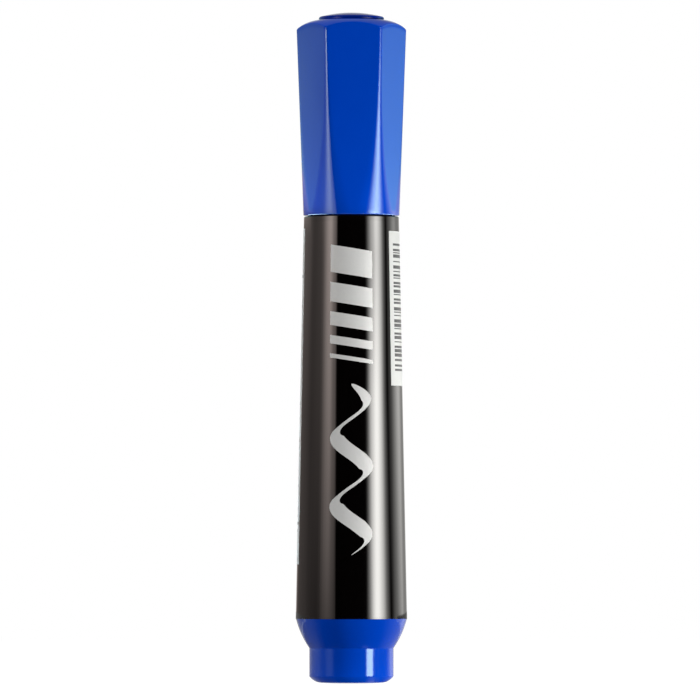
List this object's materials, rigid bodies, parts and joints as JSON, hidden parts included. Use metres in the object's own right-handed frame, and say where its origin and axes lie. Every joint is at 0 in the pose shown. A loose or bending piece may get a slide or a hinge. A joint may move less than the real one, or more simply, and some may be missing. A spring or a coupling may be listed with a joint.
{
  "type": "chisel-tip marker",
  "caption": "Marker pen with a tapered black barrel, a rear plug to stand on, a chisel nib and a pull-off cap that is hexagonal at its closed end.",
  "frame": {"origin": "centre of the flat rear face, which the marker stands on", "axes": "+Z along the axis towards the cap, -Y out of the front of the label, +X to the right of the front"},
  "size_m": [0.0212, 0.0212, 0.1283],
  "materials": {
    "blue_plastic": "moulded, glossy",
    "black_plastic": "moulded, glossy",
    "label_film": "glossy printed film with silver-grey and white areas",
    "ink_fibre": "fibre soaked with ink",
    "clear_film": "clear, glossy",
    "nose_plastic": "moulded, glossy",
    "nib_fibre": "pressed fibre soaked with ink",
    "natural_plastic": "moulded, satin"
  },
  "bodies": {
    "pen": {"rear_plug": "blue_plastic", "barrel": "black_plastic", "label_film": "label_film", "reservoir_core": "ink_fibre", "reservoir_wrap": "clear_film", "nose_section": "nose_plastic", "nib": "nib_fibre"},
    "cap": {"cap_shell": "blue_plastic", "cap_liner": "natural_plastic", "cap_end_plug": "blue_plastic"}
  },
  "joints": [
    {"name": "cap_pull", "type": "slide", "parent": "pen", "child": "cap", "axis": [0, 0, 1], "range_m": [0, 0.04]}
  ]
}
